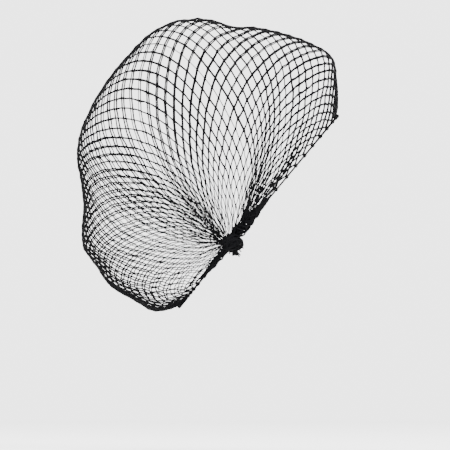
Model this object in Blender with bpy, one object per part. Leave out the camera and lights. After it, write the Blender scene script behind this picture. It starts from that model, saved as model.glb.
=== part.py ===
"""A knitted hairnet with elastic edge, in the form that it has when it is worn over full hair.

The wearer looks along -Y, +Z is up and +X is the wearer's left. The origin is the middle of the
opening, halfway between the two side knots. Sizes are in metres and angles in degrees.
"""

import math

import bmesh
import bpy
from mathutils import Vector

# Opening: a plane through both side knots, held by the elastic
OPENING_TILT = 50.3
FRONT_REACH = 0.132
NAPE_REACH = 0.066
KNOT_SPACING = 0.150
CORD_DIAMETER = 0.0020

# Bag: how far it stands away from the line between the knots
BAG_REACH = 0.182
SIDE_PUFF = 0.024
SIDE_FULLNESS = 0.92
EDGE_FADE = 30.0

# Netting: bars of gathered mesh, with diamond gaps between them
NET_WALL = 0.0016
BAR_WIDTH = 0.0034
DIAMONDS_FRONT_TO_NAPE = 10
DIAMONDS_KNOT_TO_KNOT = 6
BAR_STEPS = 3
COLLAR_RADIUS = 0.021

# Gathered edge: the bunched meshes on the elastic
GATHER_WIDTH = 0.0075
GATHER_THICKNESS = 0.0060

# Side knots
KNOT_RADIUS = 0.0080
KNOT_HALF_LENGTH = 0.0078
KNOT_PLEATS = 7
KNOT_PLEAT_DEPTH = 0.0009

# Clearance between pieces that touch
SEAT_GAP = 0.0003

# Facets
CORD_STATIONS = 60
KNOT_STATIONS = 12
KNOT_SIDES = 21

# Side outline: angle from the forehead edge over the crown to the nape, reach as a share of BAG_REACH
OUTLINE = (
    {"angle": 0.0, "reach": 0.726},
    {"angle": 3.5, "reach": 0.790},
    {"angle": 7.0, "reach": 0.860},
    {"angle": 10.5, "reach": 0.918},
    {"angle": 14.0, "reach": 0.938},
    {"angle": 20.0, "reach": 0.941},
    {"angle": 33.0, "reach": 0.947},
    {"angle": 38.5, "reach": 0.945},
    {"angle": 46.0, "reach": 0.983},
    {"angle": 53.0, "reach": 1.000},
    {"angle": 60.0, "reach": 0.984},
    {"angle": 68.0, "reach": 0.938},
    {"angle": 82.0, "reach": 0.867},
    {"angle": 97.0, "reach": 0.797},
    {"angle": 109.0, "reach": 0.698},
    {"angle": 116.5, "reach": 0.660},
    {"angle": 131.0, "reach": 0.648},
    {"angle": 140.5, "reach": 0.594},
    {"angle": 148.5, "reach": 0.566},
    {"angle": 159.5, "reach": 0.498},
    {"angle": 172.0, "reach": 0.446},
    {"angle": 180.0, "reach": 0.362},
)

# Furrows that run out from each knot: angles at the knot end and the far end, ends as shares of the
# way from knot to mid-line, depth as a share of BAG_REACH, half-width as an angle
FURROWS = (
    {"near": 8.0, "far": 24.0, "begin": 0.10, "end": 0.62, "depth": 0.026, "spread": 6.0},
    {"near": 62.0, "far": 47.0, "begin": 0.08, "end": 0.55, "depth": 0.016, "spread": 9.0},
    {"near": 138.0, "far": 150.0, "begin": 0.15, "end": 0.75, "depth": 0.014, "spread": 9.0},
)

# Gathered edge: share of the way from knot to mid-line, then width and thickness as shares of the
# full gather, on the forehead side and on the nape side
FRONT_GATHER = (
    {"way": 0.00, "width": 1.00, "thickness": 1.00},
    {"way": 0.22, "width": 0.85, "thickness": 0.80},
    {"way": 0.42, "width": 0.45, "thickness": 0.36},
    {"way": 0.60, "width": 0.36, "thickness": 0.27},
    {"way": 0.88, "width": 0.36, "thickness": 0.27},
    {"way": 1.00, "width": 0.80, "thickness": 0.45},
)
NAPE_GATHER = (
    {"way": 0.00, "width": 1.00, "thickness": 0.90},
    {"way": 0.35, "width": 0.60, "thickness": 0.50},
    {"way": 0.60, "width": 0.40, "thickness": 0.30},
    {"way": 1.00, "width": 0.36, "thickness": 0.27},
)

NETTING_BLACK = (0.012, 0.012, 0.014)
ELASTIC_BLACK = (0.016, 0.016, 0.018)
HALF_SPACING = KNOT_SPACING / 2
CORD_RADIUS = CORD_DIAMETER / 2
HALF_STEPS_FRONT_TO_NAPE = 2 * DIAMONDS_FRONT_TO_NAPE
HALF_STEPS_KNOT_TO_KNOT = 2 * DIAMONDS_KNOT_TO_KNOT
SEAT_RADIUS = KNOT_RADIUS + SEAT_GAP + NET_WALL / 2
SLOPE_STEP = 1e-3


def smooth_value(rows, key, value, x):
    """The value column of a table at x, on a curve through its rows that doesn't overshoot."""
    places = [row[key] for row in rows]
    values = [row[value] for row in rows]
    if x <= places[0]:
        return values[0]
    if x >= places[-1]:
        return values[-1]
    last = len(rows) - 1
    k = max(n for n in range(last) if places[n] <= x)
    chords = [(values[n + 1] - values[n]) / (places[n + 1] - places[n]) for n in range(last)]

    def slope(n):
        if n in (0, last):
            return chords[min(n, last - 1)]
        before, after = chords[n - 1], chords[n]
        if before * after <= 0:
            return 0.0
        return 2 * before * after / (before + after)

    span = places[k + 1] - places[k]
    u = (x - places[k]) / span
    return (
        values[k] * (1 + 2 * u) * (1 - u) ** 2
        + slope(k) * span * u * (1 - u) ** 2
        + values[k + 1] * u * u * (3 - 2 * u)
        - slope(k + 1) * span * u * u * (1 - u)
    )


def fade(x):
    """Falls smoothly from 1 at 0 to 0 at 1 and beyond."""
    x = min(1.0, max(0.0, x))
    return 1 - x * x * (3 - 2 * x)


def side_direction(angle):
    """The direction in the mirror plane at an angle from the forehead edge over the crown."""
    turn = math.radians(OPENING_TILT + angle)
    return Vector((0, -math.cos(turn), math.sin(turn)))


INWARD = side_direction(90.0)


def reach(angle):
    """From the line between the knots to the bag, at the mid-line."""
    bag = BAG_REACH * smooth_value(OUTLINE, "angle", "reach", angle)
    at_front = FRONT_REACH - BAG_REACH * OUTLINE[0]["reach"]
    at_nape = NAPE_REACH - BAG_REACH * OUTLINE[-1]["reach"]
    return bag + at_front * fade(angle / EDGE_FADE) + at_nape * fade((180 - angle) / EDGE_FADE)


def fullness(angle):
    """1 on the edge, where the bag meets the elastic's half ellipse, and less over the crown."""
    return 1 - (1 - SIDE_FULLNESS) * math.sin(math.radians(angle))


def plain_point(angle, turn):
    """The bag without furrows. turn runs from 0 at the left knot to 180 at the right knot."""
    t = math.radians(turn)
    puff = SIDE_PUFF * max(0.0, math.sin(math.radians(angle))) ** 0.7
    out = reach(angle) * max(0.0, math.sin(t)) ** fullness(angle)
    x = HALF_SPACING * math.cos(t) + puff * math.sin(2 * t)
    return Vector((x, 0, 0)) + side_direction(angle) * out + INWARD * (CORD_RADIUS + SEAT_GAP)


def outward(angle, turn):
    """The bag's outward normal."""
    h = SLOPE_STEP * 100
    a = min(max(angle, h), 180 - h)
    t = min(max(turn, h), 180 - h)
    along = plain_point(a + h, t) - plain_point(a - h, t)
    across = plain_point(a, t + h) - plain_point(a, t - h)
    return along.cross(across).normalized()


def furrow_depth(angle, turn):
    """How far the furrows lie inside the plain bag."""
    way = min(turn, 180 - turn) / 90
    depth = 0.0
    for row in FURROWS:
        u = (way - row["begin"]) / (row["end"] - row["begin"])
        if 0 < u < 1:
            centre = row["near"] + (row["far"] - row["near"]) * u
            across = (angle - centre) / row["spread"]
            depth += BAG_REACH * row["depth"] * math.sin(math.pi * u) * math.exp(-across * across)
    return depth


def net_point(angle, turn):
    return plain_point(angle, turn) - outward(angle, turn) * furrow_depth(angle, turn)


def gather(turn, at_nape, column):
    """Width or thickness of the gathered edge, in metres."""
    way = min(turn, 180 - turn) / 90
    full = GATHER_WIDTH if column == "width" else GATHER_THICKNESS
    return full * smooth_value(NAPE_GATHER if at_nape else FRONT_GATHER, "way", column, way)


def turn_at_radius(angle, radius):
    """The turn at which the bag is this far from the line between the knots, on the left side."""
    share = (radius / reach(angle)) ** (1 / fullness(angle))
    return math.degrees(math.asin(min(1.0, share)))


def even_angles(count):
    """Angles that cut the mid-line from forehead to nape into equal lengths."""
    fine = [180 * n / 720 for n in range(721)]
    points = [plain_point(angle, 90) for angle in fine]
    lengths = [0.0]
    for before, after in zip(points, points[1:]):
        lengths.append(lengths[-1] + (after - before).length)
    found = []
    for n in range(count + 1):
        wanted = lengths[-1] * n / count
        k = min(max(m for m in range(721) if lengths[m] <= wanted + 1e-12), 719)
        share = (wanted - lengths[k]) / (lengths[k + 1] - lengths[k])
        found.append(fine[k] + (fine[k + 1] - fine[k]) * share)
    return found


LATTICE_ANGLES = even_angles(HALF_STEPS_FRONT_TO_NAPE)


def lattice_angle(i):
    """The angle at a lattice column, which may lie between two whole ones."""
    low = min(max(int(math.floor(i)), 0), HALF_STEPS_FRONT_TO_NAPE - 1)
    return LATTICE_ANGLES[low] + (LATTICE_ANGLES[low + 1] - LATTICE_ANGLES[low]) * (i - low)


def lattice_turn(i, j):
    """The turn at a lattice place: rows are even between the collars round the two knots."""
    first = turn_at_radius(lattice_angle(i), COLLAR_RADIUS)
    return first + (180 - 2 * first) * j / HALF_STEPS_KNOT_TO_KNOT


def lattice_point(i, j):
    return net_point(lattice_angle(i), lattice_turn(i, j))


def half_diagonals(i, j):
    """Half of a diamond's two diagonals, from front to nape and from knot to knot."""
    low, high = max(i - 1, 0), min(i + 1, HALF_STEPS_FRONT_TO_NAPE)
    wide = (lattice_point(high, j) - lattice_point(low, j)).length / (high - low)
    tall = (lattice_point(i, j + 1) - lattice_point(i, j - 1)).length / 2
    return wide, tall


def bar_share(i, j):
    """The part of a diamond that the bars on its four sides take up."""
    wide, tall = half_diagonals(i, j)
    return BAR_WIDTH / 2 * math.hypot(1 / wide, 1 / tall)


class NetBuilder:
    """Collects the net's middle surface: one ring of points round each gap, and the bars between."""

    def __init__(self):
        self.mesh = bmesh.new()
        self.found = {}
        self.thickness = {}

    def vertex(self, key, point, thickness=NET_WALL):
        if key not in self.found:
            self.found[key] = self.mesh.verts.new(point)
            self.thickness[key] = thickness
        return self.found[key]

    def face(self, vertices):
        kept = [v for n, v in enumerate(vertices) if v not in vertices[:n]]
        if len(kept) > 2:
            self.mesh.faces.new(kept)


def is_gap(i, j):
    inside = 0 <= i <= HALF_STEPS_FRONT_TO_NAPE and 0 < j < HALF_STEPS_KNOT_TO_KNOT
    return inside and (i + j) % 2 == 1


def edge_side(i):
    """-1 on the forehead edge, 1 on the nape edge, 0 between."""
    return {0: -1, HALF_STEPS_FRONT_TO_NAPE: 1}.get(i, 0)


def edge_point(turn, at_nape):
    """The net's last line of material, clear of the elastic whatever way its wall leans."""
    angle = 180.0 if at_nape else 0.0
    lean = abs(outward(angle, turn).dot(INWARD))
    half_wall = gather(turn, at_nape, "thickness") / 2
    return net_point(angle, turn) + INWARD * half_wall * lean


def base_point(i, j, side, across):
    """A point on the straight side of a half gap, as far from the edge as the gather is wide."""
    wide, tall = half_diagonals(i, j)
    free = 1 - bar_share(i, j)
    at_nape = side > 0
    up = across * free
    for _ in range(4):
        width = gather(lattice_turn(i, j + up), at_nape, "width")
        up = across * max(0.05, free - width / wide)
    width = gather(lattice_turn(i, j + up), at_nape, "width")
    return net_point(lattice_angle(i - side * width / wide), lattice_turn(i, j + up)), up


def gap_corner(i, j, m):
    """Lattice place of point m of the ring round a gap, which starts at the left knot's side."""
    steps = BAR_STEPS
    corners = ((0, -1), (1, 0), (0, 1), (-1, 0), (0, -1))
    side, part = divmod(m, steps)
    a, b = corners[side], corners[min(side + 1, 4)]
    u = part / steps
    free = 1 - bar_share(i, j)
    return i + free * (a[0] + (b[0] - a[0]) * u), j + free * (a[1] + (b[1] - a[1]) * u)


def gap_vertex(net, i, j, m):
    """Point m of the ring round a gap. On an edge, the half outside is folded to a straight side."""
    m %= 4 * BAR_STEPS
    key = ("gap", i, j, m)
    if key in net.found:
        return net.found[key]
    side = edge_side(i)
    place = gap_corner(i, j, m)
    if not side or (place[0] - i) * side < -1e-9:
        return net.vertex(key, lattice_point(*place))
    point, up = base_point(i, j, side, (place[1] - j) / (1 - bar_share(i, j)))
    turn = lattice_turn(i, j + up)
    return net.vertex(key, point, gather(turn, side > 0, "thickness"))


def edge_vertex(net, i, j, m):
    """The point on the net's last line beside point m of a half gap."""
    m %= 4 * BAR_STEPS
    key = ("edge", i, j, m)
    if key in net.found:
        return net.found[key]
    side = edge_side(i)
    across = (gap_corner(i, j, m)[1] - j) / (1 - bar_share(i, j))
    up = base_point(i, j, side, across)[1]
    turn = lattice_turn(i, j + up)
    return net.vertex(key, edge_point(turn, side > 0), gather(turn, side > 0, "thickness"))


def build_bars(net):
    """The strips between neighbouring gaps."""
    steps = BAR_STEPS
    for i in range(HALF_STEPS_FRONT_TO_NAPE + 1):
        for j in range(HALF_STEPS_KNOT_TO_KNOT):
            if (i + j) % 2:
                continue
            if is_gap(i, j + 1) and is_gap(i + 1, j):
                for m in range(steps):
                    net.face([
                        gap_vertex(net, i, j + 1, m),
                        gap_vertex(net, i + 1, j, 3 * steps - m),
                        gap_vertex(net, i + 1, j, 3 * steps - m - 1),
                        gap_vertex(net, i, j + 1, m + 1),
                    ])
            if is_gap(i, j + 1) and is_gap(i - 1, j):
                for m in range(steps):
                    net.face([
                        gap_vertex(net, i, j + 1, 4 * steps - m),
                        gap_vertex(net, i, j + 1, 4 * steps - m - 1),
                        gap_vertex(net, i - 1, j, steps + m + 1),
                        gap_vertex(net, i - 1, j, steps + m),
                    ])


def build_crossings(net):
    """The patches where four bars meet, or three at an edge."""
    steps = BAR_STEPS
    for i in range(HALF_STEPS_FRONT_TO_NAPE + 1):
        for j in range(1, HALF_STEPS_KNOT_TO_KNOT):
            if (i + j) % 2:
                continue
            around = [(i, j + 1, 0), (i - 1, j, steps), (i, j - 1, 2 * steps), (i + 1, j, 3 * steps)]
            net.face([gap_vertex(net, *place) for place in around if is_gap(*place[:2])])


def build_edges(net):
    """The gathered strips along the forehead and nape, between the half gaps and the elastic."""
    steps = BAR_STEPS
    for i, first in ((0, 2 * steps), (HALF_STEPS_FRONT_TO_NAPE, 0)):
        rows = [j for j in range(1, HALF_STEPS_KNOT_TO_KNOT) if is_gap(i, j)]
        line = []
        for j in rows:
            ring = [(i, j, first + m) for m in range(2 * steps + 1)]
            line += ring if i else ring[::-1]
        for a, b in zip(line, line[1:]):
            quad = [gap_vertex(net, *a), edge_vertex(net, *a), edge_vertex(net, *b), gap_vertex(net, *b)]
            net.face(quad if i else quad[::-1])


def collar_vertex(net, name, angle, at_left, thickness=NET_WALL):
    """A point of the net's end, seated round a side knot."""
    turn = turn_at_radius(angle, SEAT_RADIUS)
    place = turn if at_left else 180 - turn
    return net.vertex(("collar", at_left, name), net_point(angle, place), thickness)


def build_collar(net, at_left):
    """The uncut fan of netting round a side knot."""
    steps = BAR_STEPS
    row = 1 if at_left else HALF_STEPS_KNOT_TO_KNOT - 1
    inner = 0 if at_left else 2 * steps
    columns = [i for i in range(HALF_STEPS_FRONT_TO_NAPE + 1) if is_gap(i, row)]
    for i, k in zip(columns, columns[1:]):
        ahead = [gap_vertex(net, i, row, m if at_left else 2 * steps - m) for m in range(steps + 1)]
        behind = [
            gap_vertex(net, k, row, 4 * steps - m if at_left else 2 * steps + m)
            for m in range(steps + 1)
        ]
        for m in range(steps):
            net.face([ahead[m], behind[m], behind[m + 1], ahead[m + 1]])
    line = [edge_vertex(net, 0, row, inner)]
    line += [gap_vertex(net, i, row, inner) for i in columns]
    line += [edge_vertex(net, HALF_STEPS_FRONT_TO_NAPE, row, inner)]
    end = 0 if at_left else 180
    first = net.vertex(
        ("collar", at_left, "forehead"), knot_edge_point(at_left, False), gather(end, False, "thickness")
    )
    last = net.vertex(
        ("collar", at_left, "nape"), knot_edge_point(at_left, True), gather(end, True, "thickness")
    )
    seats = [first]
    for i in columns:
        angle = collar_angle(i)
        near_edge = edge_side(i) != 0
        thickness = gather(end, edge_side(i) > 0, "thickness") if near_edge else NET_WALL
        seats.append(collar_vertex(net, i, angle, at_left, thickness))
    seats.append(last)
    for n in range(len(line) - 1):
        net.face([line[n], seats[n], seats[n + 1], line[n + 1]])


def collar_angle(i):
    """Where a column ends on the knot: the edge columns stand a gather's width off the elastic."""
    lift = math.degrees(math.asin(min(0.9, GATHER_WIDTH / 2 / KNOT_RADIUS)))
    if edge_side(i):
        return lift if i == 0 else 180 - lift
    return min(max(lattice_angle(i), 1.4 * lift), 180 - 1.4 * lift)


def knot_edge_point(at_left, at_nape):
    """Where the net's last line ends, beside the elastic at a side knot."""
    angle = 180.0 if at_nape else 0.0
    turn = turn_at_radius(angle, SEAT_RADIUS)
    return edge_point(turn if at_left else 180 - turn, at_nape)


def finish(obj, colour, roughness):
    """Smooth shading with sharp edges kept, and the piece's own material."""
    material = bpy.data.materials.new(obj.name)
    material.use_nodes = True
    shader = material.node_tree.nodes["Principled BSDF"]
    shader.inputs["Base Color"].default_value = (*colour, 1)
    shader.inputs["Roughness"].default_value = roughness
    obj.data.materials.append(material)
    return obj


def mesh_object(name, mesh):
    bmesh.ops.recalc_face_normals(mesh, faces=mesh.faces)
    data = bpy.data.meshes.new(name)
    mesh.to_mesh(data)
    mesh.free()
    data.shade_smooth()
    data.set_sharp_from_angle(angle=math.radians(40))
    obj = bpy.data.objects.new(name, data)
    bpy.context.scene.collection.objects.link(obj)
    return obj


def make_net():
    """The knitted bag: a thin open wall with its diamond gaps cut through."""
    net = NetBuilder()
    build_bars(net)
    build_crossings(net)
    build_edges(net)
    build_collar(net, True)
    build_collar(net, False)
    net.mesh.verts.index_update()
    thickness = {net.found[key].index: value for key, value in net.thickness.items()}
    obj = mesh_object("net_body", net.mesh)
    group = obj.vertex_groups.new(name="gather")
    for index, value in thickness.items():
        group.add([index], (value - NET_WALL) / (GATHER_THICKNESS - NET_WALL), "REPLACE")
    wall = obj.modifiers.new("wall", "SOLIDIFY")
    wall.thickness = GATHER_THICKNESS
    wall.offset = 0
    wall.vertex_group = group.name
    wall.thickness_vertex_group = NET_WALL / GATHER_THICKNESS
    return finish(obj, NETTING_BLACK, 0.75)


def ring_point(turn):
    """The elastic's middle line: half an ellipse over the forehead and half round the nape."""
    t = math.radians(turn)
    along = FRONT_REACH if math.sin(t) >= 0 else NAPE_REACH
    return Vector((HALF_SPACING * math.cos(t), 0, 0)) + side_direction(0.0) * along * math.sin(t)


def make_elastic():
    """The closed elastic cord that the net's edge is gathered on."""
    curve = bpy.data.curves.new("edge_elastic", "CURVE")
    curve.dimensions = "3D"
    curve.bevel_depth = CORD_RADIUS
    curve.bevel_resolution = 2
    spline = curve.splines.new("POLY")
    spline.points.add(CORD_STATIONS - 1)
    for n, point in enumerate(spline.points):
        point.co = (*ring_point(360 * n / CORD_STATIONS), 1)
    spline.use_cyclic_u = True
    obj = bpy.data.objects.new("edge_elastic", curve)
    bpy.context.scene.collection.objects.link(obj)
    return finish(obj, ELASTIC_BLACK, 0.6)


def knot_station(at_left, along):
    """A point on the elastic's middle line near a knot, and the line's direction there."""
    middle = 0 if at_left else 180
    towards_front = 1 if at_left else -1
    reach_here = FRONT_REACH if along >= 0 else NAPE_REACH
    turn = middle + towards_front * math.degrees(along / reach_here)
    ahead = ring_point(turn + towards_front) - ring_point(turn - towards_front)
    return ring_point(turn), ahead.normalized()


def make_knot(name, at_left):
    """The pleated lump of gathered net ends, tied round the elastic."""
    mesh = bmesh.new()
    out = Vector((1 if at_left else -1, 0, 0))
    hole = (CORD_RADIUS + SEAT_GAP) / math.cos(math.pi / KNOT_SIDES)
    rings = []
    for n in range(KNOT_STATIONS + 1):
        share = 2 * n / KNOT_STATIONS - 1
        centre, ahead = knot_station(at_left, share * KNOT_HALF_LENGTH)
        side = ahead.cross(out).normalized()
        up = side.cross(ahead)
        girth = math.sqrt(1 - (0.88 * share) ** 2)
        for radius_of in (
            lambda a: KNOT_RADIUS * girth - KNOT_PLEAT_DEPTH * girth * (1 + math.cos(KNOT_PLEATS * a)) / 2,
            lambda a: hole,
        ):
            ring = []
            for m in range(KNOT_SIDES):
                a = 2 * math.pi * m / KNOT_SIDES
                offset = (up * math.cos(a) + side * math.sin(a)) * radius_of(a)
                ring.append(mesh.verts.new(centre + offset))
            rings.append(ring)
    outer, inner = rings[0::2], rings[1::2]
    for m in range(KNOT_SIDES):
        k = (m + 1) % KNOT_SIDES
        for skin in (outer, inner):
            for low, high in zip(skin, skin[1:]):
                mesh.faces.new([low[m], low[k], high[k], high[m]])
        for end in (0, -1):
            mesh.faces.new([outer[end][m], outer[end][k], inner[end][k], inner[end][m]])
    return finish(mesh_object(name, mesh), NETTING_BLACK, 0.8)


def main():
    for obj in list(bpy.data.objects):
        bpy.data.objects.remove(obj)
    make_net()
    make_elastic()
    make_knot("side_knot_left", True)
    make_knot("side_knot_right", False)


main()
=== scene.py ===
"""Dresses the hairnet's frame with its real yarns, elastic, knots and studio.

The net hangs in its shape on a head: a bag of diamond meshes, gathered into a knot over each ear, on an
elastic edge. The forehead edge faces -Y, +Z is up, and the camera sees the net's right side.
"""

import math

import bpy
import numpy as np
from bpy.props import FloatProperty, FloatVectorProperty, IntProperty, PointerProperty
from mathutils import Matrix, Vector


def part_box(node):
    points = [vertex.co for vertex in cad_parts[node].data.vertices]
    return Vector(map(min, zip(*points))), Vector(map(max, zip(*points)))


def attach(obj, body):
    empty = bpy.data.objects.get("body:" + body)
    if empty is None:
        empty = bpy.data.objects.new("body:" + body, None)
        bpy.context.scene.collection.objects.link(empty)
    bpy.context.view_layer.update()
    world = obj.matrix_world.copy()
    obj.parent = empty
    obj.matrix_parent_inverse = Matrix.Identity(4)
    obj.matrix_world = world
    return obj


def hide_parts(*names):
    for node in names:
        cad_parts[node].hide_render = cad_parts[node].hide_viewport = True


bl_info = {
    "name": "Hairnet dressing",
    "version": (1, 0, 0),
    "blender": (4, 5, 0),
    "location": "View3D > Sidebar > Hairnet",
    "description": "Makes the yarns, elastic edge and side knots of a knitted hairnet",
    "category": "Object",
}

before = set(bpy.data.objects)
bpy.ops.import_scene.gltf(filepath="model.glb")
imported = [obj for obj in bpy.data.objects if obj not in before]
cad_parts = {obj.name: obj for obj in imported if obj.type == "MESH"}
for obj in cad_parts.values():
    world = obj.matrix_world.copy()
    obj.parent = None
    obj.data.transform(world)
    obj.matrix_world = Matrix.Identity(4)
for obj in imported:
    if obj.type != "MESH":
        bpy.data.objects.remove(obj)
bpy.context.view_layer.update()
KNOT_BOXES = {side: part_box(f"side_knot_{side}") for side in ("left", "right")}
MM = 0.001

# The picture's width in pixels, the pixel at the middle of the opening, and the camera's sensor
IMAGE_WIDTH = 450
MIDDLE_PIXEL = (232, 243)
SENSOR_WIDTH = 36

# Side outline: angle from the forehead edge over the crown, reach as a share of the bag's reach
OUTLINE = (
    {"angle": 0.0, "reach": 0.726},
    {"angle": 3.5, "reach": 0.790},
    {"angle": 7.0, "reach": 0.860},
    {"angle": 10.5, "reach": 0.918},
    {"angle": 14.0, "reach": 0.938},
    {"angle": 20.0, "reach": 0.941},
    {"angle": 33.0, "reach": 0.947},
    {"angle": 38.5, "reach": 0.945},
    {"angle": 46.0, "reach": 0.983},
    {"angle": 53.0, "reach": 1.000},
    {"angle": 60.0, "reach": 0.984},
    {"angle": 68.0, "reach": 0.938},
    {"angle": 82.0, "reach": 0.867},
    {"angle": 97.0, "reach": 0.797},
    {"angle": 109.0, "reach": 0.698},
    {"angle": 116.5, "reach": 0.660},
    {"angle": 131.0, "reach": 0.648},
    {"angle": 140.5, "reach": 0.594},
    {"angle": 148.5, "reach": 0.566},
    {"angle": 159.5, "reach": 0.498},
    {"angle": 172.0, "reach": 0.446},
    {"angle": 180.0, "reach": 0.362},
)

# Furrows that run out from each knot, as in the frame
FURROWS = (
    {"near": 8.0, "far": 24.0, "begin": 0.10, "end": 0.62, "depth": 0.026, "spread": 6.0},
    {"near": 62.0, "far": 47.0, "begin": 0.08, "end": 0.55, "depth": 0.016, "spread": 9.0},
    {"near": 138.0, "far": 150.0, "begin": 0.15, "end": 0.75, "depth": 0.014, "spread": 9.0},
)

# Where the meshes, counted from forehead to nape, reach a knot: share of the count, and the angle
KNOT_FAN = (
    {"share": 0.00, "angle": 0.5},
    {"share": 0.12, "angle": 2.0},
    {"share": 0.24, "angle": 4.5},
    {"share": 0.28, "angle": 12.0},
    {"share": 0.32, "angle": 34.0},
    {"share": 0.37, "angle": 60.0},
    {"share": 0.42, "angle": 78.0},
    {"share": 0.48, "angle": 92.0},
    {"share": 0.58, "angle": 110.0},
    {"share": 0.72, "angle": 130.0},
    {"share": 0.88, "angle": 157.0},
    {"share": 1.00, "angle": 179.5},
)

# The first crossing of a column, from the line between the knots
FIRST_CROSSING = 0.0075

# Pleats in which the yarns lie on each other at a knot, by angle in degrees
PLEATS = (2, 5, 8, 14, 24, 35, 47, 58, 68, 77, 86, 93, 100, 108, 115, 123, 131, 140, 150, 160, 169, 176)

# How hard the columns of meshes bunch near a knot, from forehead to nape
GATHER_PULL = (
    {"share": 0.00, "pull": 4.0},
    {"share": 0.20, "pull": 4.0},
    {"share": 0.28, "pull": 0.0},
    {"share": 0.45, "pull": 0.0},
    {"share": 0.55, "pull": 1.0},
    {"share": 0.90, "pull": 1.0},
    {"share": 1.00, "pull": 0.0},
)
# How steeply the bunching grows towards a knot, and the push of slack bars dies away
GATHER_POWER = 4
SPRING_POWER = 6

# Pleats: share of the way that the yarns are drawn in, and how deep they lie on each other in mm
PLEAT_DRAW = 0.8
PLEAT_DEPTHS = (-1.5, 2.0)

# Least width of a column of meshes: nearness to a knot, from the crown's 0 to 1, and mm
LEAST_WIDTH = (
    {"near": 0.00, "width": 4.6},
    {"near": 0.50, "width": 4.4},
    {"near": 0.65, "width": 3.4},
    {"near": 0.80, "width": 1.2},
    {"near": 0.92, "width": 0.3},
    {"near": 1.00, "width": 0.0},
)

# Where the rows of meshes meet the elastic: share of the rows, and of the way from knot to middle
FRONT_ROWS = (
    {"share": 0.000, "way": 0.045},
    {"share": 0.074, "way": 0.150},
    {"share": 0.148, "way": 0.247},
    {"share": 0.222, "way": 0.337},
    {"share": 0.296, "way": 0.419},
    {"share": 0.370, "way": 0.494},
    {"share": 0.444, "way": 0.566},
    {"share": 0.667, "way": 0.783},
    {"share": 0.741, "way": 0.855},
    {"share": 0.815, "way": 0.916},
    {"share": 0.889, "way": 0.958},
    {"share": 0.963, "way": 0.988},
    {"share": 1.000, "way": 1.000},
)
NAPE_ROWS = (
    {"share": 0.000, "way": 0.070},
    {"share": 0.074, "way": 0.210},
    {"share": 0.148, "way": 0.330},
    {"share": 0.222, "way": 0.425},
    {"share": 0.333, "way": 0.520},
    {"share": 0.667, "way": 0.762},
    {"share": 1.000, "way": 1.000},
)

# Ropes of bunched netting on the elastic: way from the knot in mm, and the rope's radius in mm
FRONT_ROPE = (
    {"way": 0.0, "radius": 4.8},
    {"way": 14.0, "radius": 4.6},
    {"way": 24.0, "radius": 3.5},
    {"way": 32.0, "radius": 2.2},
    {"way": 40.0, "radius": 1.2},
    {"way": 50.0, "radius": 0.5},
)
NAPE_ROPE = (
    {"way": 0.0, "radius": 3.6},
    {"way": 14.0, "radius": 2.5},
    {"way": 26.0, "radius": 1.6},
    {"way": 40.0, "radius": 0.6},
)


# Settling: pull that keeps the yarns taut, share of a move that carries on, how far a move may
# overshoot, rounds at the end without a carry, and the most degrees that a crossing moves
TAUTNESS = 0.03
CARRY = 0.9
OVERSHOOT = 2.2
CALM_ROUNDS = 60
MOST_DEGREES = 2
ROUNDS = 1500

# Unevenness of the net in mm, and of the yarn's thickness as a share
UNEVEN = 0.2
YARN_VARIES = 0.06

# Thickness of the yarn at a crossing, along a bar and in a knot, as shares
CROSSING_SWELL = 1.08
BAR_SWELL = 0.92
KNOT_SWELL = 0.9

# A crossing: the most of a bar that it takes, how far the yarns stand apart in the net and out of
# it, in yarns, and the most of a bar that they stand apart
CROSSING_MOST = 0.16
APART = 0.33
OVER = 0.3
APART_MOST = 0.05

# The most that a slack bar bows, and how far the yarn ends scatter in a knot, in mm
BOW_MOST = 0.7
END_SCATTER = 2.2

# A rope's yarns: points, twist and wander in radians, lumps as a share and their length in mm
ROPE_POINTS = 34
ROPE_TWIST = 7.0
ROPE_WANDER = 2.0
ROPE_LUMPS = 0.16
LUMP_LENGTH = 1.7

# The coils that bind the rows: points, half their width in mm, and yarn as a share of the net's
BINDING_POINTS = 20
BINDING_HALF = 0.9
BINDING_YARN = 0.45

# Points in a turn of the elastic's cover and of a knot's winding, and corners of the floor
COVER_POINTS = 8
WINDING_POINTS = 26
FLOOR_CORNERS = 96


def linear(code):
    """A colour's sRGB hex value as linear red, green, blue and alpha."""
    shares = [((code >> shift) & 255) / 255 for shift in (16, 8, 0)]
    return (*(s / 12.92 if s <= 0.04045 else ((s + 0.055) / 1.055) ** 2.4 for s in shares), 1.0)


def distance(name, description, default):
    """A length in metres as a property."""
    return FloatProperty(
        name=name, description=description, default=default, subtype="DISTANCE", unit="LENGTH"
    )


def colour(name, description, code):
    """An sRGB hex value as a colour property."""
    return FloatVectorProperty(
        name=name, description=description, default=linear(code), size=4, subtype="COLOR", min=0, max=1
    )


class HairnetShape(bpy.types.PropertyGroup):
    """Sizes of the bag, the same as the frame's"""

    tilt: FloatProperty(
        name="Opening tilt",
        description="Slope of the elastic edge from the level",
        default=math.radians(50.3),
        subtype="ANGLE",
        unit="ROTATION",
    )
    front_reach: distance("Front reach", "From the line between the knots to the forehead edge", 0.132)
    nape_reach: distance("Nape reach", "From the line between the knots to the nape edge", 0.066)
    bag_reach: distance("Bag reach", "From the line between the knots to the crown", 0.182)
    knot_spacing: distance("Knot spacing", "Between the two side knots", 0.150)
    side_puff: distance("Side puff", "How far the sides swell out past the knots", 0.024)
    seat: distance("Seat", "From the elastic's middle to the net's edge line", 0.0013)
    side_fullness: FloatProperty(name="Side fullness", description="Squareness of the sides", default=0.92)
    edge_fade: FloatProperty(
        name="Edge fade", description="Degrees over which the edge's reach fades", default=30
    )


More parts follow.
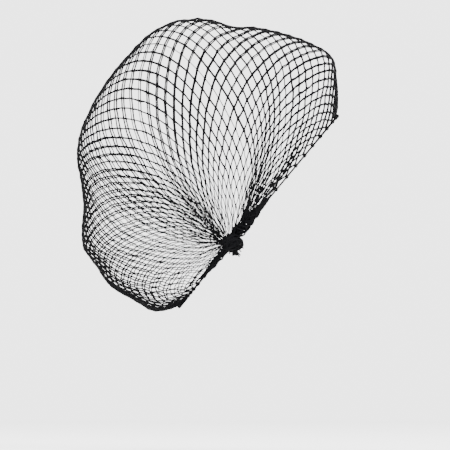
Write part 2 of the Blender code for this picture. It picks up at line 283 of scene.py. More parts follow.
class HairnetNetting(bpy.types.PropertyGroup):
    """Mesh counts and yarn of the netting"""

    across: IntProperty(name="Meshes front to nape", description="Diamonds over the crown", default=50, min=8)
    along: IntProperty(
        name="Meshes knot to knot", description="Diamonds from side to side", default=27, min=6
    )
    bar: distance("Mesh bar", "Yarn from one crossing to the next", 0.0097)
    spring: FloatProperty(name="Spring", description="How firmly a slack bar pushes back", default=0.15)
    least_bar: FloatProperty(
        name="Least bar", description="Share of a bar below which it pushes back", default=0.82
    )
    yarn: distance("Yarn", "Thickness of the bulked yarn", 0.0012)
    crossing: distance("Crossing", "Length over which two yarns run side by side", 0.0014)
    pleat_start: distance("Pleats begin", "Way from a knot up to which the yarns lie in pleats", 0.010)
    pleat_end: distance("Pleats end", "Way from a knot at which the pleats have opened", 0.035)
    thinning: FloatProperty(
        name="Thinning", description="Share that the taut yarn loses at a knot", default=0.58
    )
    thin_end: distance("Thinning ends", "Way from a knot at which the yarn has its full thickness", 0.110)
    slack: FloatProperty(name="Slack", description="Share of the spare yarn that shows as bows", default=0.08)
    seed: IntProperty(name="Seed", description="Start of the small irregularities", default=7)
    tint: colour("Yarn colour", "Black of the spun nylon", 0x040405)
    # Painted sheen: a greyer colour mixed into the yarn's black where loose fibres would catch the light
    painted_sheen: colour("Lit fibre colour", "Greyer fibres on top of the yarn", 0x0D0D0F)


class HairnetEdge(bpy.types.PropertyGroup):
    """Elastic edge, ropes and knots"""

    core: distance("Elastic core", "Thickness of the rubber core", 0.0011)
    cover: distance("Cover yarn", "Thickness of the yarn wound round the core", 0.00045)
    pitch: distance("Cover pitch", "Length of one turn of the cover yarn", 0.0013)
    rope_yarns: IntProperty(
        name="Rope yarns", description="Yarns in the bunched front edge", default=26, min=4
    )
    knot_turns: IntProperty(name="Knot turns", description="Windings on each side knot", default=80, min=10)
    tint: colour("Elastic colour", "Black of the covered elastic", 0x060607)
    # Painted sheen: a greyer colour mixed into the elastic's black where its cover fibres would catch the
    # light
    painted_sheen: colour("Lit cover colour", "Greyer fibres on the elastic's cover", 0x111113)


class HairnetStage(bpy.types.PropertyGroup):
    """Floor, light and camera"""

    floor: distance("Floor", "Depth of the floor below the opening's middle", 0.165)
    spread: distance("Floor spread", "Radius of the round floor", 2.2)
    far: distance("Camera distance", "From the mirror plane to the camera", 15.0)
    pixel: distance("Pixel", "Width that one image pixel shows at the mirror plane", 0.0008)
    surround: FloatProperty(name="Surround", description="Brightness of the white surroundings", default=3.5)
    paper: colour("Backdrop colour", "Pale studio paper", 0xE8E8E8)


def table_value(rows, key, value, x):
    """The value column of a table at x, on a curve through its rows that doesn't overshoot."""
    places = np.array([row[key] for row in rows], float)
    values = np.array([row[value] for row in rows], float)
    spans = np.diff(places)
    chords = np.diff(values) / spans
    slopes = np.concatenate([chords[:1], np.zeros(len(chords) - 1), chords[-1:]])
    same = chords[:-1] * chords[1:] > 0
    slopes[1:-1][same] = 2 * chords[:-1][same] * chords[1:][same] / (chords[:-1] + chords[1:])[same]
    x = np.clip(x, places[0], places[-1])
    k = np.clip(np.searchsorted(places, x, side="right") - 1, 0, len(spans) - 1)
    u = (x - places[k]) / spans[k]
    return (
        values[k] * (1 + 2 * u) * (1 - u) ** 2
        + slopes[k] * spans[k] * u * (1 - u) ** 2
        + values[k + 1] * u * u * (3 - 2 * u)
        - slopes[k + 1] * spans[k] * u * u * (1 - u)
    )


def fade(x):
    """Falls smoothly from 1 at 0 to 0 at 1 and beyond."""
    x = np.clip(x, 0, 1)
    return 1 - x * x * (3 - 2 * x)


def unit(vectors):
    """The vectors at length 1."""
    return vectors / np.maximum(np.linalg.norm(vectors, axis=-1, keepdims=True), 1e-12)


def run_lengths(points):
    """How far along a line each of its points lies."""
    return np.concatenate([[0], np.cumsum(np.linalg.norm(np.diff(points, axis=0), axis=1))])


def points_at(places, lengths, points):
    """The points that lie at these places along a line."""
    return np.stack([np.interp(places, lengths, points[:, k]) for k in range(3)], -1)


def both_sides(values):
    """Makes the random values of the rows past the middle those of the rows before it, mirrored."""
    half = values.shape[1] // 2
    values[:, half + 1 :] = values[:, :half][:, ::-1]
    if values.ndim > 2:
        values[:, half + 1 :, 0] *= -1
        values[:, half, 0] = 0
    return values


class Bag:
    """The smooth surface that the net lies on, by angle over the crown and turn from knot to knot."""

    def __init__(self, shape):
        self.shape = shape
        self.steps = 361
        fine = np.linspace(0, 180, self.steps)
        angles, turns = np.meshgrid(fine, fine, indexing="ij")
        self.points, self.normals = self.surface(angles, turns)
        self.step = 180 / (self.steps - 1)
        self.by_angle = np.gradient(self.points, self.step, axis=0)
        self.by_turn = np.gradient(self.points, self.step, axis=1)

    def direction(self, angle):
        """The direction in the mirror plane at an angle from the forehead edge over the crown."""
        turn = self.shape.tilt + np.radians(angle)
        return np.stack([np.zeros_like(turn), -np.cos(turn), np.sin(turn)], -1)

    def reach(self, angle):
        """From the line between the knots to the bag's edge in the mirror plane."""
        shape = self.shape
        out = shape.bag_reach * table_value(OUTLINE, "angle", "reach", angle)
        front = shape.front_reach - shape.bag_reach * OUTLINE[0]["reach"]
        nape = shape.nape_reach - shape.bag_reach * OUTLINE[-1]["reach"]
        fades = fade(angle / shape.edge_fade), fade((180 - angle) / shape.edge_fade)
        return out + front * fades[0] + nape * fades[1]

    def fullness(self, angle):
        """The power that squares the bag's section."""
        return 1 - (1 - self.shape.side_fullness) * np.sin(np.radians(angle))

    def plain(self, angle, turn):
        """Points of the bag before the furrows."""
        shape = self.shape
        t = np.radians(turn)
        puff = shape.side_puff * np.maximum(0, np.sin(np.radians(angle))) ** 0.7
        out = self.reach(angle) * np.maximum(0, np.sin(t)) ** self.fullness(angle)
        across = shape.knot_spacing / 2 * np.cos(t) + puff * np.sin(2 * t)
        point = self.direction(angle) * out[..., None]
        point[..., 0] += across
        return point + self.direction(np.full_like(angle, 90.0)) * shape.seat

    def surface(self, angle, turn):
        """Points and outward normals, with the furrows sunk in."""
        h = 0.2
        a = np.clip(angle, h, 180 - h)
        t = np.clip(turn, h, 180 - h)
        along = self.plain(a + h, t) - self.plain(a - h, t)
        across = self.plain(a, t + h) - self.plain(a, t - h)
        normal = unit(np.cross(along, across))
        way = np.minimum(turn, 180 - turn) / 90
        depth = np.zeros_like(way)
        for row in FURROWS:
            u = np.clip((way - row["begin"]) / (row["end"] - row["begin"]), 0, 1)
            centre = row["near"] + (row["far"] - row["near"]) * u
            fall = np.exp(-(((angle - centre) / row["spread"]) ** 2))
            depth += self.shape.bag_reach * row["depth"] * np.sin(math.pi * u) * fall
        return self.plain(angle, turn) - normal * depth[..., None], normal

    def sample(self, angle, turn, *grids):
        """Values of the grids at any angles and turns."""
        x = np.clip(angle / self.step, 0, self.steps - 1.00001)
        y = np.clip(turn / self.step, 0, self.steps - 1.00001)
        i, j = x.astype(int), y.astype(int)
        u, v = (x - i)[..., None], (y - j)[..., None]
        return [
            g[i, j] * (1 - u) * (1 - v)
            + g[i + 1, j] * u * (1 - v)
            + g[i, j + 1] * (1 - u) * v
            + g[i + 1, j + 1] * u * v
            for g in grids
        ]

    def turn_at(self, angle, radius):
        """The turn at which the bag is this far from the line between the knots."""
        share = np.clip((radius / self.reach(angle)) ** (1 / self.fullness(angle)), 0, 1)
        return np.degrees(np.arcsin(share))

    def rim(self, turn):
        """The elastic's middle line: turn 0 to 180 over the forehead, 180 to 360 round the nape."""
        shape = self.shape
        t = np.radians(turn)
        along = np.where(np.sin(t) >= 0, shape.front_reach, shape.nape_reach)
        point = self.direction(np.zeros_like(t)) * (along * np.sin(t))[..., None]
        point[..., 0] += shape.knot_spacing / 2 * np.cos(t)
        return point


def relax_net(bag, net, rounds):
    """Lets the diamond meshes settle on the bag. Yarns don't stretch, and each one stays taut."""
    columns, rows = 2 * net.across + 1, 2 * net.along + 1
    i, j = np.meshgrid(np.arange(columns), np.arange(rows), indexing="ij")
    knotted = (i + j) % 2 == 0
    share = i / (columns - 1)
    near_knot = np.abs(j - net.along) / net.along

    # Start: columns even over the crown, and fanned at the knots as the table says
    fine = np.linspace(0, 180, 2001)
    crown = bag.plain(fine, np.full_like(fine, 90.0))
    lengths = run_lengths(crown)
    even = np.interp(np.linspace(0, lengths[-1], columns), lengths, fine)
    fan = table_value(KNOT_FAN, "share", "angle", share)
    angle = even[i] * (1 - near_knot**2) + fan * near_knot**2
    turn = np.zeros_like(angle)
    for column in range(columns):
        first = bag.turn_at(fan[column, :1], FIRST_CROSSING)[0]
        spread = np.linspace(first, 180 - first, 181)
        path = np.interp(np.linspace(0, rows - 1, 181), np.arange(rows), angle[column])
        points, _ = bag.surface(path, spread)
        along = run_lengths(points)
        turn[column] = np.interp(np.linspace(0, along[-1], rows), along, spread)

    turn[0], turn[-1] = edge_seats(bag, net)
    held = (j == 0) | (j == rows - 1) | (i == 0) | (i == columns - 1)
    bunching = TAUTNESS * table_value(GATHER_PULL, "share", "pull", share) * near_knot**GATHER_POWER
    lays = (
        ((slice(0, -1), slice(0, -1)), (slice(1, None), slice(1, None))),
        ((slice(1, None), slice(0, -1)), (slice(0, -1), slice(1, None))),
    )
    left, right = (slice(0, -2), slice(None)), (slice(2, None), slice(None))
    beside = knotted[left] & knotted[right]
    across_pull = 0.5 * (bunching[left] + bunching[right]) * beside
    least = table_value(LEAST_WIDTH, "near", "width", near_knot[left]) * MM
    spring = net.spring * (1 - near_knot**SPRING_POWER)
    drift_angle = np.zeros_like(angle)
    drift_turn = np.zeros_like(turn)
    for step in range(rounds):
        points, by_angle, by_turn = bag.sample(angle, turn, bag.points, bag.by_angle, bag.by_turn)
        move = np.zeros_like(points)
        weight = np.full(angle.shape, 1e-6)
        for a, b in lays:
            pair = knotted[a] & knotted[b]
            gap = points[b] - points[a]
            length = np.maximum(np.linalg.norm(gap, axis=-1), 1e-9)
            stop = (length > net.bar) & pair
            short = spring[a] * ((length < net.least_bar * net.bar) & pair)
            pull = stop * (length - net.bar) - short * (net.least_bar * net.bar - length)
            pull = 0.5 * (pull / length + TAUTNESS * pair)[..., None] * gap
            move[a] += pull
            move[b] -= pull
            weight[a] += stop + short + TAUTNESS * pair
            weight[b] += stop + short + TAUTNESS * pair
        gap = points[right] - points[left]
        width = np.maximum(np.linalg.norm(gap, axis=-1), 1e-9)
        tight = (width < least) & beside
        pull = 0.5 * (across_pull - tight * (least - width) / width)[..., None] * gap
        move[left] += pull
        move[right] -= pull
        weight[left] += across_pull + tight
        weight[right] += across_pull + tight
        move /= np.maximum(weight, 0.05)[..., None]
        aa = (by_angle * by_angle).sum(-1) + 1e-12
        tt = (by_turn * by_turn).sum(-1) + 1e-12
        at = (by_angle * by_turn).sum(-1)
        ma = (move * by_angle).sum(-1)
        mt = (move * by_turn).sum(-1)
        whole = np.maximum(aa * tt - at * at, 1e-14)
        step_angle = np.where(held, 0, (ma * tt - mt * at) / whole)
        step_turn = np.where(held, 0, (mt * aa - ma * at) / whole)
        keep = CARRY if step < rounds - CALM_ROUNDS else 0.0
        drift_angle = keep * drift_angle + OVERSHOOT * (1 - keep) * step_angle
        drift_turn = keep * drift_turn + OVERSHOOT * (1 - keep) * step_turn
        angle = angle + np.clip(drift_angle, -MOST_DEGREES, MOST_DEGREES)
        turn = turn + np.clip(drift_turn, -MOST_DEGREES, MOST_DEGREES)
        turn = np.clip(turn, 0.5, 179.5)
        angle = np.where(held, angle, np.clip(angle, 0.6, 179.4))

    # Near a knot the yarns draw together in pleats and lie on each other
    points, normals = bag.surface(angle, turn)
    pleats = np.array(PLEATS, float)
    nearest = pleats[np.abs(angle[..., None] - pleats).argmin(-1)]
    ends = bag.rim(np.where(turn < 90, 0.0, 180.0))
    away = np.linalg.norm(points - ends, axis=-1)
    drawn = fade((away - net.pleat_start) / (net.pleat_end - net.pleat_start)) * ~held
    points, normals = bag.surface(angle + PLEAT_DRAW * drawn * (nearest - angle), turn)
    rng = np.random.default_rng(net.seed)
    depths = both_sides(rng.uniform(*PLEAT_DEPTHS, drawn.shape)) * MM
    points = points - normals * (drawn * depths)[..., None]
    return points, normals, knotted


def add_node(tree, kind, links=(), **settings):
    """A node with its settings, its inputs set to values or linked from other sockets."""
    node = tree.nodes.new(kind)
    for name, value in settings.items():
        setattr(node, name, value)
    for name, value in dict(links).items():
        socket = node.inputs[name]
        if isinstance(value, bpy.types.NodeSocket):
            tree.links.new(value, socket)
        else:
            socket.default_value = value
    return node


def yarn_tree():
    """Geometry nodes that turn lines of points into round yarn, with the length along it kept."""
    tree = bpy.data.node_groups.new("yarn along lines", "GeometryNodeTree")
    for name, kind in (
        ("Geometry", "NodeSocketGeometry"),
        ("Yarn Radius", "NodeSocketFloat"),
        ("Sides", "NodeSocketInt"),
        ("Steps", "NodeSocketInt"),
        ("Material", "NodeSocketMaterial"),
    ):
        tree.interface.new_socket(name, in_out="INPUT", socket_type=kind)
    tree.interface.new_socket("Geometry", in_out="OUTPUT", socket_type="NodeSocketGeometry")
    given = tree.nodes.new("NodeGroupInput")
    lines = add_node(tree, "GeometryNodeMeshToCurve", {"Mesh": given.outputs["Geometry"]})
    smooth = add_node(
        tree, "GeometryNodeCurveSplineType", {"Curve": lines.outputs["Curve"]}, spline_type="CATMULL_ROM"
    )
    steps = add_node(
        tree,
        "GeometryNodeSetSplineResolution",
        {"Geometry": smooth.outputs["Curve"], "Resolution": given.outputs["Steps"]},
    )
    swell = add_node(tree, "GeometryNodeInputNamedAttribute", {"Name": "swell"}, data_type="FLOAT")
    along = tree.nodes.new("GeometryNodeSplineParameter")
    marked = add_node(
        tree,
        "GeometryNodeStoreNamedAttribute",
        {"Geometry": steps.outputs["Geometry"], "Name": "run", "Value": along.outputs["Length"]},
        data_type="FLOAT",
        domain="POINT",
    )
    ring = add_node(
        tree,
        "GeometryNodeCurvePrimitiveCircle",
        {"Resolution": given.outputs["Sides"], "Radius": given.outputs["Yarn Radius"]},
    )
    tube = add_node(
        tree,
        "GeometryNodeCurveToMesh",
        {
            "Curve": marked.outputs["Geometry"],
            "Profile Curve": ring.outputs["Curve"],
            "Scale": swell.outputs["Attribute"],
            "Fill Caps": True,
        },
    )
    shaded = add_node(tree, "GeometryNodeSetShadeSmooth", {"Geometry": tube.outputs["Mesh"]})
    real = add_node(tree, "GeometryNodeRealizeInstances", {"Geometry": shaded.outputs["Geometry"]})
    dyed = add_node(
        tree,
        "GeometryNodeSetMaterial",
        {"Geometry": real.outputs["Geometry"], "Material": given.outputs["Material"]},
    )
    add_node(tree, "NodeGroupOutput", {"Geometry": dyed.outputs["Geometry"]})
    return tree


def yarn_piece(name, lines, yarn, material, sides=5, steps=2, cyclic=False):
    """A mesh of round yarn along lines, each a list of points and of thickness shares."""
    tree = bpy.data.node_groups.get("yarn along lines") or yarn_tree()
    points = np.concatenate([line[0] for line in lines])
    swell = np.concatenate([line[1] for line in lines])
    edges = []
    first = 0
    for line, _ in lines:
        count = len(line)
        edges += [(first + n, first + n + 1) for n in range(count - 1)]
        if cyclic:
            edges.append((first + count - 1, first))
        first += count
    guide = bpy.data.meshes.new(name)
    guide.from_pydata(points.tolist(), edges, [])
    guide.attributes.new("swell", "FLOAT", "POINT").data.foreach_set("value", swell.astype(np.float32))
    obj = bpy.data.objects.new(name, guide)
    bpy.context.scene.collection.objects.link(obj)
    modifier = obj.modifiers.new("yarn", "NODES")
    modifier.node_group = tree
    values = {"Yarn Radius": yarn / 2, "Sides": sides, "Steps": steps, "Material": material}
    for item in tree.interface.items_tree:
        if item.in_out == "INPUT" and item.name in values:
            modifier[item.identifier] = values[item.name]
    graph = bpy.context.evaluated_depsgraph_get()
    made = bpy.data.meshes.new_from_object(obj.evaluated_get(graph), depsgraph=graph)
    obj.modifiers.remove(modifier)
    made.name = name
    obj.data = made
    bpy.data.meshes.remove(guide)
    if not len(made.polygons):
        raise RuntimeError(f"{name} came out empty")
    return obj


def nylon_yarn(name, body, lit, ply, bump):
    """Bulked nylon spun in plies, dyed black."""
    # Its crimped filaments scatter the light, so it looks matt and nearly black. Where loose fibres
    # stand on the twists it is greyer: a painted sheen, mixed into the black base colour
    material = bpy.data.materials.get(name)
    if material:
        return material
    material = bpy.data.materials.new(name)
    material.use_nodes = True
    tree = material.node_tree
    shader = tree.nodes["Principled BSDF"]
    shader.inputs["Roughness"].default_value = 0.62
    shader.inputs["IOR"].default_value = 1.53
    shader.inputs["Specular IOR Level"].default_value = 0.02
    shader.inputs["Sheen Weight"].default_value = 0.004
    shader.inputs["Sheen Roughness"].default_value = 0.5
    run = add_node(tree, "ShaderNodeAttribute", attribute_name="run", attribute_type="GEOMETRY")
    turns = add_node(
        tree, "ShaderNodeMath", {0: run.outputs["Fac"], 1: 2 * math.pi / ply}, operation="MULTIPLY"
    )
    wave = add_node(tree, "ShaderNodeMath", {0: turns.outputs[0]}, operation="SINE")
    place = tree.nodes.new("ShaderNodeTexCoord")
    # Real filaments are about 0.02 mm thick. They are drawn in tufts, 2.6 to the mm, so that they
    # show, and the painted sheen on the yarn comes and goes over patches 17 mm wide
    fibres = add_node(
        tree,
        "ShaderNodeTexNoise",
        {"Vector": place.outputs["Object"], "Scale": 2.6 / MM, "Detail": 2.0, "Roughness": 0.6},
    )
    relief = add_node(
        tree,
        "ShaderNodeMath",
        {0: wave.outputs[0], 1: 0.35, 2: fibres.outputs["Fac"]},
        operation="MULTIPLY_ADD",
    )
    raised = add_node(
        tree,
        "ShaderNodeBump",
        {"Height": relief.outputs[0], "Strength": 0.7, "Distance": bump},
    )
    tree.links.new(raised.outputs["Normal"], shader.inputs["Normal"])
    patches = add_node(
        tree, "ShaderNodeTexNoise", {"Vector": place.outputs["Object"], "Scale": 0.06 / MM, "Detail": 3.0}
    )
    both = add_node(
        tree, "ShaderNodeMath", {0: patches.outputs["Fac"], 1: fibres.outputs["Fac"]}, operation="MULTIPLY"
    )
    # Painted sheen: the greyer lit colour is mixed into the black where fibre tufts and patches meet
    painted_sheen_mask = add_node(tree, "ShaderNodeMapRange", {0: both.outputs[0], 1: 0.15, 2: 0.45, 3: 0.0, 4: 1.0})
    mixed = add_node(tree, "ShaderNodeMix", {"Factor": painted_sheen_mask.outputs[0]}, data_type="RGBA")
    for socket in mixed.inputs:
        if socket.type == "RGBA":
            socket.default_value = body if socket.name == "A" else lit
    out = next(s for s in mixed.outputs if s.type == "RGBA")
    tree.links.new(out, shader.inputs["Base Color"])
    return material


def netting_yarn(net):
    """The net's yarn, its plies twisted once in 1.1 mm."""
    return nylon_yarn("black bulked nylon yarn", net.tint, net.painted_sheen, 1.1 * MM, 0.12 * MM)


def net_lines(points, normals, knotted, bows, net, slope, knots, rng):
    """The yarns of one lay: slope 1 runs towards the nape, -1 towards the forehead."""
    columns, rows = knotted.shape
    along = np.zeros_like(points)
    along[:, 1:-1] = points[:, 2:] - points[:, :-2]
    odd = np.zeros_like(points)
    odd[1:-1, 1:-1] = points[2:, 2:] + points[:-2, 2:] - points[2:, :-2] - points[:-2, :-2]
    along = unit(np.where(np.linalg.norm(odd, axis=-1, keepdims=True) > 0, odd, along))
    across = unit(np.cross(along, normals))
    lines = []
    starts = [(i, 0) for i in range(columns) if knotted[i, 0]]
    edge = 0 if slope > 0 else columns - 1
    starts += [(edge, j) for j in range(1, rows - 1) if knotted[edge, j]]
    for i, j in starts:
        path = []
        while 0 <= i < columns and j < rows:
            path.append((i, j))
            i, j = i + slope, j + 1
        if len(path) < 2:
            continue
        centre = np.array([points[p] for p in path])
        up = np.array([along[p] for p in path])
        side = np.array([across[p] for p in path])
        out = np.array([normals[p] for p in path])
        lengths = np.linalg.norm(np.diff(centre, axis=0), axis=1)
        near = np.minimum(np.append(lengths, 1.0), np.insert(lengths, 0, 1.0))
        half = np.minimum(net.crossing / 2, CROSSING_MOST * near)[:, None]
        aside = np.minimum(APART * net.yarn, APART_MOST * near)[:, None] * slope
        over = OVER * net.yarn * slope * out
        before = centre - up * half - side * aside + over
        after = centre + up * half + side * aside + over
        middle = 0.5 * (after[:-1] + before[1:])
        spare = np.sqrt(np.maximum(net.bar**2 - lengths**2, 0)) * net.slack
        seats = [(min(a[0], b[0]), min(a[1], rows - 2 - a[1])) for a, b in zip(path, path[1:])]
        bow = np.minimum(spare, BOW_MOST * MM) * np.array([bows[seat] for seat in seats])
        bar_side = unit(np.cross(centre[1:] - centre[:-1], out[:-1]))
        middle = middle + bar_side * bow[:, None]
        away = np.min([np.linalg.norm(centre - end, axis=1) for end in knots], axis=0)
        taut = 1 - net.thinning * fade(away / net.thin_end)
        line = []
        thick = []
        for n in range(len(path)):
            line += [before[n], after[n]]
            thick += [CROSSING_SWELL * taut[n]] * 2
            if n < len(path) - 1:
                line.append(middle[n])
                thick.append(BAR_SWELL * taut[n])
        # A yarn that starts or stops at a side of the net runs into that side's knot
        if path[0][1] == 0:
            line.insert(0, knots[0] + rng.normal(0, END_SCATTER * MM, 3))
            thick.insert(0, KNOT_SWELL)
        if path[-1][1] == rows - 1:
            line.append(knots[1] + rng.normal(0, END_SCATTER * MM, 3))
            thick.append(KNOT_SWELL)
        swell = np.array(thick) * rng.uniform(1 - YARN_VARIES, 1 + YARN_VARIES)
        lines.append((np.array(line), swell))
    return lines


class HAIRNET_OT_netting(bpy.types.Operator):
    """Knits the two lays of yarn that cross in the diamond meshes"""

    bl_idname = "hairnet.netting"
    bl_label = "Netting"

    def execute(self, context):
        net = context.scene.hairnet_netting
        bag = Bag(context.scene.hairnet_shape)
        rng = np.random.default_rng(net.seed)
        points, normals, knotted = relax_net(bag, net, ROUNDS)
        points = points + both_sides(rng.normal(0, UNEVEN * MM, points.shape))
        bows = rng.uniform(-1, 1, points.shape[:2])
        knots = [np.array(bag.rim(np.array(turn))) for turn in (0.0, 180.0)]
        material = netting_yarn(net)
        for name, slope in (("netting_outer_lay", 1), ("netting_inner_lay", -1)):
            lines = net_lines(points, normals, knotted, bows, net, slope, knots, rng)
            piece = yarn_piece(name, lines, net.yarn, material)
            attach(piece, "root")
            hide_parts("net_body")
        return {"FINISHED"}


def rope_lines(middle, frames, radius, count, rng):
    """Yarns that run along a middle line inside a radius, crossing each other as they go."""
    lines = []
    steps = len(middle)
    way = np.linspace(0, 1, steps)
    for n in range(count):
        start = rng.uniform(0, 2 * math.pi)
        depth = math.sqrt(rng.uniform(0.05, 1))
        hand = rng.choice([-1, 1])
        wander = ROPE_WANDER * np.cumsum(rng.normal(0, 1, steps)) / steps**0.5
        turn = start + ROPE_TWIST * way * hand + wander
        out = radius * depth * (1 + 0.25 * np.sin(way * rng.uniform(12, 30) + start))
        line = middle + frames[0] * (out * np.cos(turn))[:, None] + frames[1] * (out * np.sin(turn))[:, None]
        lines.append((line, np.full(steps, rng.uniform(0.85, 1.15))))
    return lines


class HAIRNET_OT_gathers(bpy.types.Operator):
    """Bunches the edge meshes into ropes beside the knots and at the forehead"""

    bl_idname = "hairnet.gathers"
    bl_label = "Gathered edges"

    def execute(self, context):
        net = context.scene.hairnet_netting
        edge = context.scene.hairnet_edge
        bag = Bag(context.scene.hairnet_shape)
        inward = bag.direction(np.array(90.0))
        ropes = ((FRONT_ROPE, 1, edge.rope_yarns), (NAPE_ROPE, -1, edge.rope_yarns // 2))
        lines = []
        for knot_turn, sign in ((0.0, 1), (180.0, -1)):
            rng = np.random.default_rng(net.seed + 1)
            for rows, to_front, count in ropes:
                rim = bag.rim(knot_turn + sign * to_front * np.linspace(0, 60, 400))
                places = np.linspace(0, rows[-1]["way"] * MM, ROPE_POINTS)
                middle = points_at(places, run_lengths(rim), rim)
                lumps = 1 + ROPE_LUMPS * np.sin(places / (LUMP_LENGTH * MM) + rng.uniform(0, 6))
                radius = table_value(rows, "way", "radius", places / MM) * lumps * MM
                middle = middle + inward * (0.25 * radius + 0.2 * MM)[:, None]
                ahead = unit(np.gradient(middle, axis=0))
                frames = np.broadcast_to(inward, middle.shape), sign * unit(np.cross(ahead, inward))
                lines += rope_lines(middle, frames, radius, count, rng)
        piece = yarn_piece("gathered_edges", lines, net.yarn, netting_yarn(net))
        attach(piece, "root")
        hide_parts("net_body")
        return {"FINISHED"}


def edge_seats(bag, net):
    """Where each row of meshes meets the elastic, as angle and turns, for the forehead and the nape."""
    rows = np.arange(2 * net.along + 1)
    from_knot = np.minimum(rows, 2 * net.along - rows) / net.along
    seats = []
    for angle, table in ((0.5, FRONT_ROWS), (179.5, NAPE_ROWS)):
        half = np.linspace(0, 90, 401)
        edge, _ = bag.surface(np.full_like(half, angle), half)
        along = run_lengths(edge)
        seat = np.interp(table_value(table, "share", "way", from_knot) * along[-1], along, half)
        seats.append(np.where(rows <= net.along, seat, 180 - seat))
    return seats


def edge_loops(bag, net, edge):
    """Short coils of yarn that bind the rows of meshes to the elastic."""
    rng = np.random.default_rng(net.seed + 2)
    inward = bag.direction(np.array(90.0))
    lines = []
    for side, turns in zip((1, -1), edge_seats(bag, net)):
        for row in range(2, 2 * net.along, 2):
            turn = turns[row] if side > 0 else 360 - turns[row]
            near = bag.rim(np.array([turn - 0.3, turn, turn + 0.3]))
            ahead = unit(near[2] - near[0])
            aside = np.cross(ahead, inward)
            spin = np.linspace(0, rng.uniform(3.2, 4.4) * math.pi, BINDING_POINTS) + rng.uniform(0, 6)
            out = (edge.core + 2 * edge.cover + 0.4 * net.yarn) / 2
            run = np.linspace(-BINDING_HALF, BINDING_HALF, BINDING_POINTS) * MM
            coil = near[1] + run[:, None] * ahead
            coil = coil + out * (np.cos(spin)[:, None] * inward + np.sin(spin)[:, None] * aside)
            lines.append((coil, np.full(BINDING_POINTS, rng.uniform(0.9, 1.1))))
    return lines


class HAIRNET_OT_elastic(bpy.types.Operator):
    """Makes the elastic core and the yarn wound round it"""

    bl_idname = "hairnet.elastic"
    bl_label = "Elastic edge"

    def execute(self, context):
        edge = context.scene.hairnet_edge
        net = context.scene.hairnet_netting
        bag = Bag(context.scene.hairnet_shape)
        # The elastic's cover gets the same painted fibre sheen as the net's yarn
        material = nylon_yarn("black covered elastic", edge.tint, edge.painted_sheen, edge.pitch, 0.06 * MM)
        core = bag.rim(np.linspace(0, 360, 240, endpoint=False))
        pieces = [yarn_piece("elastic_core", [(core, np.ones(len(core)))], edge.core, material, 8, 1, True)]
        fine = np.linspace(0, 360, 4000, endpoint=False)
        rim = bag.rim(fine)
        closed = np.vstack([rim, rim[:1]])
        along = run_lengths(closed)
        count = round(along[-1] / edge.pitch) * COVER_POINTS
        middle = points_at(np.linspace(0, along[-1], count, endpoint=False), along, closed)
        ahead = unit(np.roll(middle, -1, axis=0) - np.roll(middle, 1, axis=0))
        inward = bag.direction(np.array(90.0))
        aside = unit(np.cross(ahead, inward))
        spin = 2 * math.pi * np.arange(count) / COVER_POINTS
        out = (edge.core + edge.cover * 0.8) / 2
        helix = middle + out * (np.cos(spin)[:, None] * inward + np.sin(spin)[:, None] * aside)
        pieces.append(
            yarn_piece("elastic_cover", [(helix, np.ones(len(helix)))], edge.cover, material, 4, 1, True)
        )
        loops = edge_loops(bag, net, edge)
        pieces.append(yarn_piece("edge_loops", loops, net.yarn * BINDING_YARN, material, 5, 1))
        for piece in pieces:
            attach(piece, "root")
            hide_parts("edge_elastic")
        return {"FINISHED"}


def knot_windings(centre, axes, size, count, rng):
    """Closed turns of yarn on a lumpy ball, most of them round the root of the gathered net."""
    lobes = unit(rng.normal(0, 1, (9, 3)))
    lines = []
    for n in range(count):
        axis = unit(np.array([0.15, 1.0, 0.0]) * rng.choice([-1, 1]) + rng.normal(0, 0.75, 3))
        first = unit(np.cross(axis, rng.normal(0, 1, 3)))
        second = np.cross(axis, first)
        t = np.linspace(0, 2 * math.pi, WINDING_POINTS, endpoint=False)
        ring = first * np.cos(t)[:, None] + second * np.sin(t)[:, None] + axis * rng.normal(0, 0.36)
        ring = unit(ring)
        lump = 0.86 + 0.2 * np.exp(-((np.arccos(np.clip(ring @ lobes.T, -1, 1)) / 0.45) ** 2)).sum(1)
        wave = 0.06 * np.sin(2 * t + rng.uniform(0, 6)) + 0.05 * np.sin(3 * t + rng.uniform(0, 6))
        depth = rng.uniform(0.6, 0.95) if n % 6 else 1.08
        ring = ring * ((lump + wave) * depth)[:, None] * np.array([1.0, 0.98, 0.86])
        lines.append((centre + size * ring @ axes, np.full(WINDING_POINTS, rng.uniform(0.95, 1.3))))
    return lines


def knot_ends(centre, axes, size, rng):
    """Cut ends that stand out of the knot, away from the net and down."""
    lines = []
    for _ in range(22):
        way = unit(np.array([-0.45, -0.85, 0.0]) + rng.normal(0, 0.3, 3))
        bend = unit(rng.normal(0, 1, 3))
        reach = size * rng.uniform(1.1, 1.5)
        t = np.linspace(0, 1, 6)[:, None]
        line = way * reach * t + bend * size * 0.3 * t**2 + rng.normal(0, 0.1, 3) * size
        lines.append((centre + line @ axes, np.linspace(1.1, 0.8, 6)))
    return lines


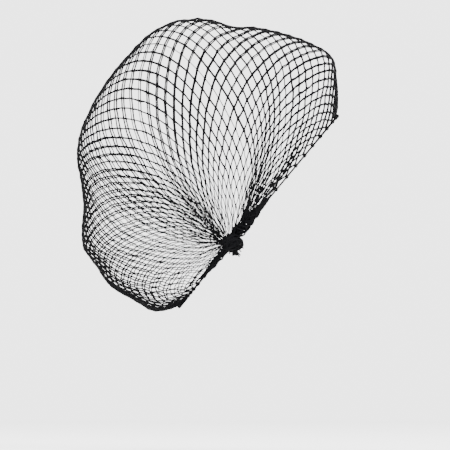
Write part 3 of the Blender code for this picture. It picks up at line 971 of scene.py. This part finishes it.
class HAIRNET_OT_knots(bpy.types.Operator):
    """Winds the lumps where the net's ends are tied over each ear"""

    bl_idname = "hairnet.knots"
    bl_label = "Side knots"

    def execute(self, context):
        net = context.scene.hairnet_netting
        edge = context.scene.hairnet_edge
        bag = Bag(context.scene.hairnet_shape)
        for name, turn in (("left", 0.0), ("right", 180.0)):
            rng = np.random.default_rng(net.seed + 12)
            centre = bag.rim(np.array(turn))
            low, high = KNOT_BOXES[name]
            size = 0.5 * min(high[k] - low[k] for k in range(3))
            outward = [math.cos(math.radians(turn)), 0, 0]
            axes = np.array([bag.direction(np.array(0.0)), bag.direction(np.array(90.0)), outward])
            windings = knot_windings(centre, axes, size, edge.knot_turns, rng)
            pieces = [
                yarn_piece(f"side_knot_{name}_windings", windings, net.yarn, netting_yarn(net), 5, 1, True)
            ]
            ends = knot_ends(centre, axes, size, rng)
            pieces.append(yarn_piece(f"side_knot_{name}_ends", ends, net.yarn, netting_yarn(net), 5, 2))
            for piece in pieces:
                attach(piece, "root")
                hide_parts(f"side_knot_{name}")
        return {"FINISHED"}


class HAIRNET_OT_stage(bpy.types.Operator):
    """Sets the pale floor, the soft studio light and the camera"""

    bl_idname = "hairnet.stage"
    bl_label = "Stage"

    def execute(self, context):
        stage = context.scene.hairnet_stage
        mesh = bpy.data.meshes.new("studio_floor")
        turns = [2 * math.pi * n / FLOOR_CORNERS for n in range(FLOOR_CORNERS)]
        rim = [(stage.spread * math.cos(t), stage.spread * math.sin(t), -stage.floor) for t in turns]
        mesh.from_pydata(rim, [], [tuple(range(FLOOR_CORNERS))])
        floor = bpy.data.objects.new("studio_floor", mesh)
        context.scene.collection.objects.link(floor)
        # Uncoated paper: a soft even white with no gloss and hardly any shadow
        paper = bpy.data.materials.new("matt studio paper")
        paper.use_nodes = True
        shader = paper.node_tree.nodes["Principled BSDF"]
        shader.inputs["Base Color"].default_value = stage.paper
        shader.inputs["Roughness"].default_value = 0.9
        mesh.materials.append(paper)

        world = bpy.data.worlds.new("studio")
        world.use_nodes = True
        world.node_tree.nodes["Background"].inputs["Color"].default_value = (1, 1, 1, 1)
        world.node_tree.nodes["Background"].inputs["Strength"].default_value = stage.surround
        context.scene.world = world
        for name, place, size, power in (
            ("soft key", (-1.6, -1.2, 1.7), 1.2, 110),
            ("soft fill", (-1.8, 1.5, 0.5), 1.4, 40),
            ("soft top", (0.3, 0.2, 2.0), 1.2, 60),
        ):
            light = bpy.data.lights.new(name, "AREA")
            light.energy = power
            light.size = size
            lamp = bpy.data.objects.new(name, light)
            lamp.location = place
            lamp.rotation_euler = Vector(place).to_track_quat("Z", "Y").to_euler()
            context.scene.collection.objects.link(lamp)

        # A long lens sets the far side of the net behind the near side, mesh on mesh
        lens = bpy.data.cameras.new("camera")
        lens.sensor_width = SENSOR_WIDTH
        lens.lens = SENSOR_WIDTH * stage.far / (IMAGE_WIDTH * stage.pixel)
        lens.clip_end = 100
        camera = bpy.data.objects.new("camera", lens)
        aside, above = (pixel - IMAGE_WIDTH / 2 for pixel in MIDDLE_PIXEL)
        camera.location = (-stage.far, aside * stage.pixel, above * stage.pixel)
        camera.rotation_euler = (math.pi / 2, 0, -math.pi / 2)
        context.scene.collection.objects.link(camera)
        context.scene.camera = camera
        return {"FINISHED"}


class HAIRNET_PT_panel(bpy.types.Panel):
    """Lists the hairnet's pieces and sizes"""

    bl_label = "Hairnet"
    bl_idname = "HAIRNET_PT_panel"
    bl_space_type = "VIEW_3D"
    bl_region_type = "UI"
    bl_category = "Hairnet"

    def draw(self, context):
        for group in GROUPS.values():
            for name in group.__annotations__:
                self.layout.prop(getattr(context.scene, scene_name(group)), name)
        for operator in OPERATORS:
            self.layout.operator(operator.bl_idname)


OPERATORS = (
    HAIRNET_OT_stage,
    HAIRNET_OT_netting,
    HAIRNET_OT_gathers,
    HAIRNET_OT_elastic,
    HAIRNET_OT_knots,
)
GROUPS = {
    "hairnet_shape": HairnetShape,
    "hairnet_netting": HairnetNetting,
    "hairnet_edge": HairnetEdge,
    "hairnet_stage": HairnetStage,
}


def scene_name(group):
    """The name under which a scene holds a property group."""
    return next(name for name, kind in GROUPS.items() if kind is group)


def register():
    for kind in (*GROUPS.values(), *OPERATORS, HAIRNET_PT_panel):
        bpy.utils.register_class(kind)
    for name, kind in GROUPS.items():
        setattr(bpy.types.Scene, name, PointerProperty(type=kind))


def unregister():
    for name in GROUPS:
        delattr(bpy.types.Scene, name)
    for kind in (HAIRNET_PT_panel, *reversed(OPERATORS), *reversed(GROUPS.values())):
        bpy.utils.unregister_class(kind)


def main():
    """Makes every piece."""
    register()
    bpy.ops.hairnet.stage()
    bpy.ops.hairnet.netting()
    bpy.ops.hairnet.gathers()
    bpy.ops.hairnet.elastic()
    bpy.ops.hairnet.knots()


if __name__ == "__main__":
    main()
